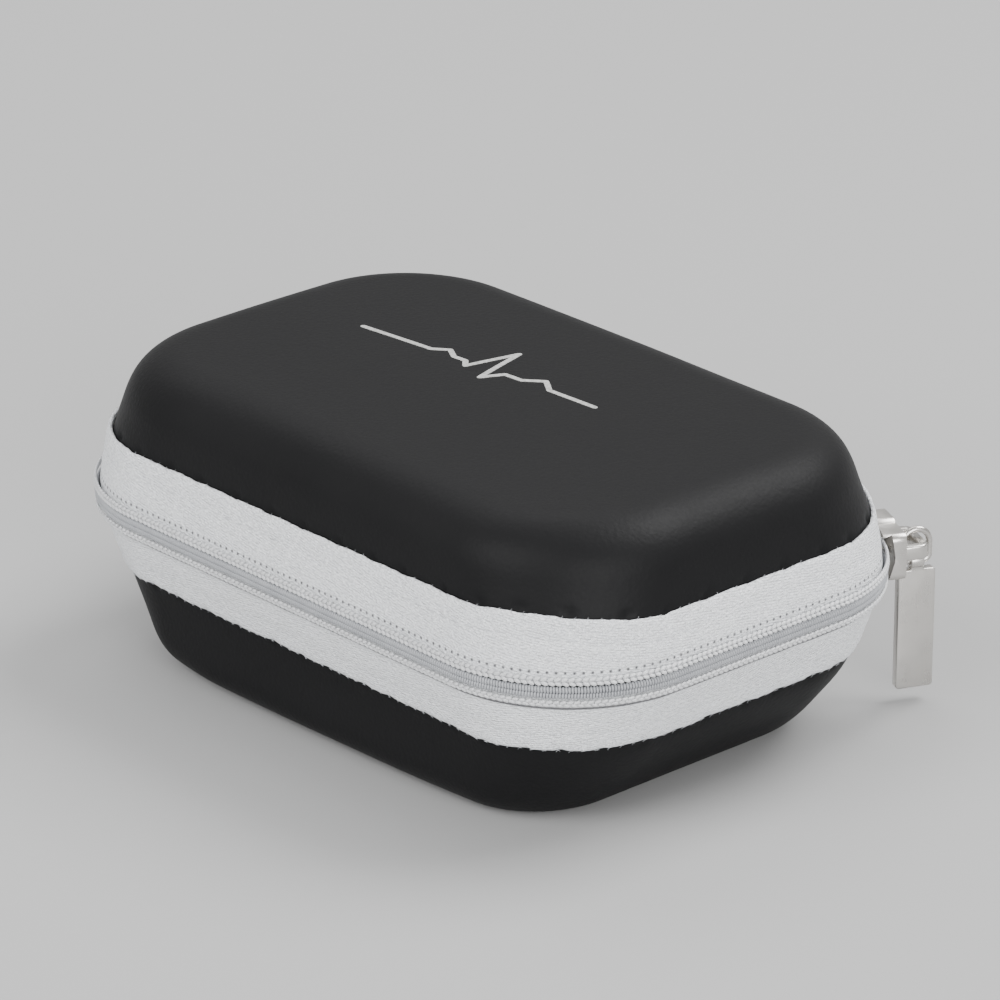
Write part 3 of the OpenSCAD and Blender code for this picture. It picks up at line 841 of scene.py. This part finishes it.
zipLook = {"coilPitch": 0.4 * mm, "coilMiddle": 0.34 * mm, "coilWide": 0.6 * mm, "coilHigh": 0.4 * mm,
           "coilWire": 0.19 * mm, "coilDepth": -0.34 * mm,
           "bandRows": {"lid": (1.25 * mm, 1.8 * mm), "base": (1.1 * mm, 1.55 * mm)},
           "bandDepth": -0.78 * mm, "bandPitch": 0.9 * mm, "bandSlant": 0.34, "seamPitch": 2.4 * mm,
           "leftEnd": 86.5, "rightEnd": 67.5}
zipStart = leftCornerStart + cornerRadius * math.radians(90 - zipLook["leftEnd"])
zipEnd = rightCornerStart + cornerRadius * math.radians(zipLook["rightEnd"])
seamStart = leftCornerStart + cornerRadius * math.radians(2)
seamEnd = rightCornerStart + cornerRadius * math.radians(88)
zipPieces = {}
for half in halves:
    sign = walls[half][0]
    offset = 0 if half == "lid" else zipLook["coilPitch"] / 2
    coil = laidRow(f"{half}Coil", "coil",
                   [wallLine(half, zipStart + offset, zipEnd, zipLook["coilMiddle"], zipLook["coilDepth"])],
                   finishes["coil"], Pitch=zipLook["coilPitch"], Wide=zipLook["coilWide"],
                   High=zipLook["coilHigh"], Wire=zipLook["coilWire"], Turn=0.1 * sign, Wander=0.02, Seed=2)
    bands = []
    for k, up in enumerate(zipLook["bandRows"][half]):
        bands.append(wallLine(half, zipStart + k * zipLook["bandPitch"] / 2, zipEnd, up,
                              zipLook["bandDepth"], slant=sign * (1 if k else -1) * zipLook["bandSlant"]))
    thread = laidRow(f"{half}CoilThread", "stitch", bands, finishes["thread"], Pitch=zipLook["bandPitch"],
                     Long=1.1 * mm, Wide=0.6 * mm, High=0.42 * mm, Wander=0.1, Seed=4)
    seam = laidRow(f"{half}SeamThread", "stitch",
                   [wallLine(half, seamStart, seamEnd,
                             lambda s, h=half: tapeWidth(h, s) - tapeLook["seamFromEdge"], -0.03 * mm)],
                   finishes["seamThread"], Pitch=zipLook["seamPitch"], Long=1.8 * mm, Wide=0.28 * mm,
                   High=0.2 * mm, Turn=0.05, Wander=0.07, Seed=6)
    zipPieces[half] = {"coil": coil, "coil_thread": thread, "seam": seam}
print("zip made")


# loose yarn ends where the tapes are cut
fuzzLook = {"pitch": 1.7 * mm, "long": 0.7 * mm, "thick": 0.05 * mm,
            # each row's start, height over the cut, depth and slant
            "rows": ((2 * mm, 0.05 * mm, 0.12 * mm, 0.5), (2.3 * mm, -0.15 * mm, 0.02 * mm, -0.6))}
for half in halves:
    rows = [wallLine(half, seamStart + begin, seamEnd - 2 * mm,
                     lambda s, h=half, more=over: tapeEdge(h, s) + more, depth, slant)
            for begin, over, depth, slant in fuzzLook["rows"]]
    fuzz = laidRow(f"{half}TapeFuzz", "stitch", rows,
                   finishes["seamThread"], Pitch=fuzzLook["pitch"], Long=fuzzLook["long"],
                   Wide=fuzzLook["thick"], High=fuzzLook["thick"], Wander=0.8, Seed=8)
    zipPieces[half]["fuzz"] = fuzz


# the spine strip runs across both halves, bowed out over the zip line
spineLook = {"out": 0.6 * mm, "in": 0.35 * mm, "past": 1 * mm, "bow": 0.35 * mm, "step": 0.6 * mm,
             "stitchRows": (1.9 * mm, 3.1 * mm)}


def spineStrip():
    ups = [-(caseShape["baseTapeWidth"] + spineLook["past"]) + i * spineLook["step"] for i in range(200)]
    top = caseShape["lidTapeWidth"] + spineLook["past"]
    ups = [u for u in ups if u < top - 0.2 * mm] + [top]
    # the side that lies on the tapes needs only every third row, and the last
    innerUps = ups[::3] if ups[::3][-1] == top else ups[::3] + [top]
    rings, uvs = [], []
    steps = 60
    for i in range(steps + 1):
        s = -spineHalf + 2 * spineHalf * i / steps
        end = smooth((spineHalf - abs(s)) / (1.2 * mm))
        ring, uv = [], []
        for u in ups:
            side = "lid" if u > 0 else "base"
            edge = smooth(min(u - ups[0], top - u) / (0.8 * mm))
            bow = spineLook["bow"] * math.exp(-(u / (3 * mm)) ** 2)
            stands = spineLook["out"] * (0.55 + 0.45 * edge * end) + bow * end
            ring.append(onWall(side, s, abs(u), -stands))
            uv.append((s, u))
        for u in reversed(innerUps):
            side = "lid" if u > 0 else "base"
            under = spineLook["in"] * smooth((spineHalf - 4.6 * mm - abs(s)) / (0.8 * mm))
            ring.append(onWall(side, s, abs(u), under + 0.02 * mm - 0.04 * mm * (under == 0)))
            uv.append((s, u))
        rings.append(ring)
        uvs.append(uv)
    return sweep("spineStrip", rings, False, finishes["webbing"], uvs)


spine = spineStrip()
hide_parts("spine_base_half", "spine_lid_half")
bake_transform(spine)
for half in halves:
    rows = []
    for inFromEdge in spineLook["stitchRows"]:
        up = caseShape[half + "TapeWidth"] + spineLook["past"] - inFromEdge
        rows.append(wallLine(half, perimeter - spineHalf + 1.5 * mm, perimeter + spineHalf - 1.5 * mm,
                             up, -spineLook["out"] - 0.02 * mm))
    stitches = laidRow(f"{half}SpineStitches", "stitch", rows, finishes["darkThread"], Pitch=2.6 * mm,
                       Long=2.1 * mm, Wide=0.36 * mm, High=0.3 * mm, Wander=0.03, Seed=9)
    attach(stitches, half)
print("spine made")

# bar tacks: close satin stitches across both tapes
for hand, node in ((-1, "bar_tack_left"), (1, "bar_tack_right")):
    low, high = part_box(node)
    plan = planAt(seamStart if hand < 0 else seamEnd)
    points = [placed(plan, -0.3 * mm, low.z + (high.z - low.z) * i / 20) for i in range(21)]
    outs = [Vector((plan[2], plan[3], 0))] * 21
    tack = laidRow("barTackLeft" if hand < 0 else "barTackRight", "stitch",
                   [(points, outs, [math.pi / 2] * 21)], finishes["thread"], Pitch=0.4 * mm,
                   Long=1.9 * mm, Wide=0.46 * mm, High=0.5 * mm, Wander=0.06, Seed=12)
    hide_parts(node)
    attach(tack, "base")


bindingLook = {"thick": 0.5 * mm, "tall": 5 * mm, "step": 1.2 * mm, "ripple": 0.06 * mm,
               "ripplePitch": 2.9 * mm}


def bindingBand(name, half):
    inner, t, tall = shellLook["liningIn"], bindingLook["thick"], bindingLook["tall"]
    rim = shellLook["rimUp"]
    rings, uvs = [], []
    for s in ringStations(bindingLook["step"])[0]:
        ripple = bindingLook["ripple"] * math.sin(s * 2 * math.pi / bindingLook["ripplePitch"])
        section = [(rim - t, tapeT + 0.15 * mm), (rim - t, inner * 0.5), (rim - t, inner + 0.2 * mm),
                   (rim - t + 0.15 * mm, inner + t * 0.9)]
        section += [(rim + tall * k / 5, inner + t + ripple * (k < 5)) for k in range(6)]
        section += [(rim + tall + 0.12 * mm, inner + t * 0.5)]
        section += [(rim + tall * k / 3, inner + 0.03 * mm) for k in (3, 2, 1)]
        section += [(rim - 0.03 * mm, inner + 0.03 * mm), (rim - 0.03 * mm, inner * 0.5),
                    (rim - 0.03 * mm, tapeT + 0.15 * mm)]
        plan = planAt(s)
        rings.append([placed(plan, *wallPoint(half, angleAt(half, u), d)) for u, d in section])
        uvs.append([(s, u + d) for u, d in section])
    return sweep(name, rings, True, finishes["binding"], uvs)


for half in halves:
    band = bindingBand(f"{half}Binding", half)
    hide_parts(f"{half}_binding")
    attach(band, half)

netLook = {"sag": 1.1 * mm, "thick": 0.3 * mm, "fold": 0.12 * mm, "foldFrom": 9 * mm, "rows": 44,
           "columns": 64}


def netPocket():
    low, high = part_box("mesh_pocket")
    radius = high.x - coreX
    middle = (low.z + high.z) / 2
    front, back = low.y, high.y
    top, bottom, uvs = [], [], []
    rows, columns = netLook["rows"], netLook["columns"]
    area = 0
    for j in range(rows + 1):
        y = front + (back - front) * (1 - (1 - j / rows) ** 1.35)
        past = max(0, abs(y) - coreY)
        wide = coreX + math.sqrt(max(radius ** 2 - past ** 2, 0)) - 0.1 * mm
        for i in range(columns + 1):
            x = -wide + 2 * wide * i / columns
            inward = min(1, max(0, (back - y) / (back - front)) * 0.8)
            share = (1 - (x / wide) ** 2) * math.sin(math.pi * inward)
            near = smooth((front + netLook["foldFrom"] - y) / netLook["foldFrom"])
            fold = netLook["fold"] * math.sin(x * 900) * near
            z = middle - netLook["sag"] * share + fold
            top.append((x, y, z + netLook["thick"] / 2))
            bottom.append((x, y, z - netLook["thick"] / 2))
            uvs.append((x, y))
        if j:
            area += (lastWide + wide) * (y - lastY)
        lastWide, lastY = wide, y
    n = columns + 1
    faces = [(j * n + i, j * n + i + 1, (j + 1) * n + i + 1, (j + 1) * n + i)
             for j in range(rows) for i in range(columns)]
    start = len(top)
    faces += [tuple(start + k for k in reversed(f)) for f in faces[:]]
    rim = ([(0, i) for i in range(columns)] + [(j, columns) for j in range(rows)]
           + [(rows, i) for i in range(columns, 0, -1)] + [(j, 0) for j in range(rows, 0, -1)])
    rim = [j * n + i for j, i in rim]
    for a, b in zip(rim, rim[1:] + rim[:1]):
        faces.append((b, a, start + a, start + b))
    net = makeObject("netPocket", top + bottom, faces, finishes["net"], uvs + uvs, merge=1e-7)
    return net, (2 * (coreX + radius), back - front), area


net, netFlat, netArea = netPocket()
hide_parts("mesh_pocket")
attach(net, "lid")

elasticLook = {"gather": 1.9 * mm, "ripple": 0.14 * mm, "sag": 0.5 * mm, "steps": 260}


def elasticBand():
    low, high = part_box("pocket_elastic")
    mid = (low + high) / 2
    halfW, halfT = (high.y - low.y) / 2 - 0.1 * mm, (high.z - low.z) / 2 - 0.2 * mm
    rings, uvs = [], []
    for i in range(elasticLook["steps"] + 1):
        x = low.x + (high.x - low.x) * i / elasticLook["steps"]
        r = elasticLook["ripple"] * math.sin(x * 2 * math.pi / elasticLook["gather"])
        sag = elasticLook["sag"] * (1 - (x / high.x) ** 2)
        ring, uv = [], []
        for k in range(16):
            t = 2 * math.pi * k / 16
            c, s = math.cos(t), math.sin(t)
            y = mid.y + halfW * math.copysign(abs(c) ** 0.35, c)
            z = mid.z - sag * 0.4 + (halfT + r * (1 if s > 0 else -1)) * math.copysign(abs(s) ** 0.7, s)
            ring.append((x, y, z))
            uv.append((x, k * 0.6 * mm))
        rings.append(ring)
        uvs.append(uv)
    return sweep("pocketElastic", rings, False, finishes["elastic"], uvs)


elastic = elasticBand()
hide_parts("pocket_elastic")
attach(elastic, "lid")
print("inside made")


def mergedCopy(node, name):
    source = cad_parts[node]
    mesh = source.data.copy()
    mesh.materials.clear()
    bm = bmesh.new()
    bm.from_mesh(mesh)
    bmesh.ops.remove_doubles(bm, verts=bm.verts, dist=2e-6)
    bmesh.ops.dissolve_limit(bm, angle_limit=math.radians(2), verts=bm.verts, edges=bm.edges)
    bm.to_mesh(mesh)
    bm.free()
    return inScene(name, mesh)


printHalf = 0.05 * mm
inkPrint = mergedCopy("lid_print", "pulsePrint")
bm = bmesh.new()
bm.from_mesh(inkPrint.data)
bmesh.ops.triangulate(bm, faces=bm.faces)
bmesh.ops.subdivide_edges(bm, edges=[e for e in bm.edges if e.calc_length() > 3 * mm], cuts=3)
bmesh.ops.triangulate(bm, faces=bm.faces)
for v in bm.verts:
    lump = noise.noise(Vector((v.co.x, v.co.y, caseShape["lidTop"])) * 55) * shellLook["uneven"]
    top = v.co.z > caseShape["lidTop"] + 0.03 * mm
    v.co.z = caseShape["lidTop"] - crownDrop(v.co.x, v.co.y) + lump + (printHalf if top else -printHalf)
bm.to_mesh(inkPrint.data)
bm.free()
inkPrint.data.materials.append(finishes["ink"])
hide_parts("lid_print")
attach(inkPrint, "lid")

metalLook = {"slider_body": ("sliderBody", "slider", "slider", 0.22 * mm, "slider_metal"),
             "slider_crown": ("sliderCrown", "slider", "slider", 0.3 * mm, "slider_metal"),
             "puller_loop": ("pullerLoop", "loop", "wire", 0.0, "loop_wire"),
             "pull_tab": ("pullTab", "tab", "tab", 0.16 * mm, "tab_metal")}
for node, (name, body, finish, edge, slot) in metalLook.items():
    metal = mergedCopy(node, name)
    metal.data.materials.append(finishes[finish])
    if edge:
        bevel = metal.modifiers.new("edges", "BEVEL")
        bevel.width, bevel.segments, bevel.limit_method = edge, 3, "ANGLE"
        bevel.angle_limit = math.radians(40)
        bevel.use_clamp_overlap = True
        metal.data = bakedMesh(metal)
    metal.data.polygons.foreach_set("use_smooth", [True] * len(metal.data.polygons))
    metal.data.set_sharp_from_angle(angle=math.radians(42))
    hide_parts(node)
    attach(metal, body)
print("metal made")

# the base's zip pieces go with the base; the lid's tape, coil and coil thread are left where they are, and
# its seam and fuzz go with the lid
for half in halves:
    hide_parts(f"{half}_tape")
    for kind, piece in zipPieces[half].items():
        if kind != "fuzz":
            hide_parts(f"{half}_{kind}")
    if half == "base":
        for piece in (tapes[half], *zipPieces[half].values()):
            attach(piece, "base")
    else:
        for piece in (tapes[half], zipPieces[half]["coil"], zipPieces[half]["coil_thread"]):
            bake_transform(piece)
        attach(zipPieces[half]["seam"], "lid")
        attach(zipPieces[half]["fuzz"], "lid")

stageLook = {"size": 6.0, "world": 0.60, "aim": (0, 0, 0.02)}
# each light's place to the right, away from the camera and up, its size and its power
lights = {"key": (0.75, 0.35, 1.1, (0.9, 0.7), 23), "fill": (-0.9, -0.7, 0.8, (0.9, 0.9), 17),
          "front": (0.4, -1.1, 0.42, (0.8, 0.6), 14), "overhead": (-0.2, 0.7, 1.0, (0.8, 0.5), 4)}
floor = makeObject("floor", [(-1, -1, 0), (1, -1, 0), (1, 1, 0), (-1, 1, 0)], [(0, 1, 2, 3)],
                   finishes["stage"])
floor.data.transform(Matrix.Scale(stageLook["size"] / 2, 4))

world = bpy.data.worlds.new("studio")
world.use_nodes = True
setInputs(world.node_tree.nodes["Background"], Color=(1, 1, 1, 1), Strength=stageLook["world"])
bpy.context.scene.world = world


def areaLight(name, place, size, power):
    lamp = bpy.data.lights.new(name, "AREA")
    lamp.shape, lamp.size, lamp.size_y, lamp.energy = "RECTANGLE", size[0], size[1], power
    obj = inScene(name, lamp)
    obj.location = place
    obj.rotation_mode = "QUATERNION"
    obj.rotation_quaternion = (Vector(stageLook["aim"]) - place).to_track_quat("-Z", "Y")


cameraLook = {"azimuth": 47.83, "elevation": 23.06, "distance": 0.8398, "lens": 217.7,
              "target": (-6.59 * mm, 8.72 * mm, 20 * mm), "shift": 0.0172}
turn, tilt = math.radians(cameraLook["azimuth"]), math.radians(cameraLook["elevation"])
back = Vector((math.sin(turn) * math.cos(tilt), -math.cos(turn) * math.cos(tilt), math.sin(tilt)))
right = Vector((math.cos(turn), math.sin(turn), 0))
away = Vector((-math.sin(turn), math.cos(turn), 0))
for name, (across, deep, high, size, power) in lights.items():
    areaLight(name, right * across + away * deep + Vector((0, 0, high)), size, power)

camera = bpy.data.cameras.new("camera")
camera.lens, camera.sensor_width, camera.shift_y = cameraLook["lens"], 36, cameraLook["shift"]
camera.clip_start, camera.clip_end = 0.01, 20
cameraObject = inScene("camera", camera)
cameraObject.location = Vector(cameraLook["target"]) + back * cameraLook["distance"]
cameraObject.rotation_mode = "QUATERNION"
cameraObject.rotation_quaternion = (-back).to_track_quat("-Z", "Y")
bpy.context.scene.camera = cameraObject
print("stage made")
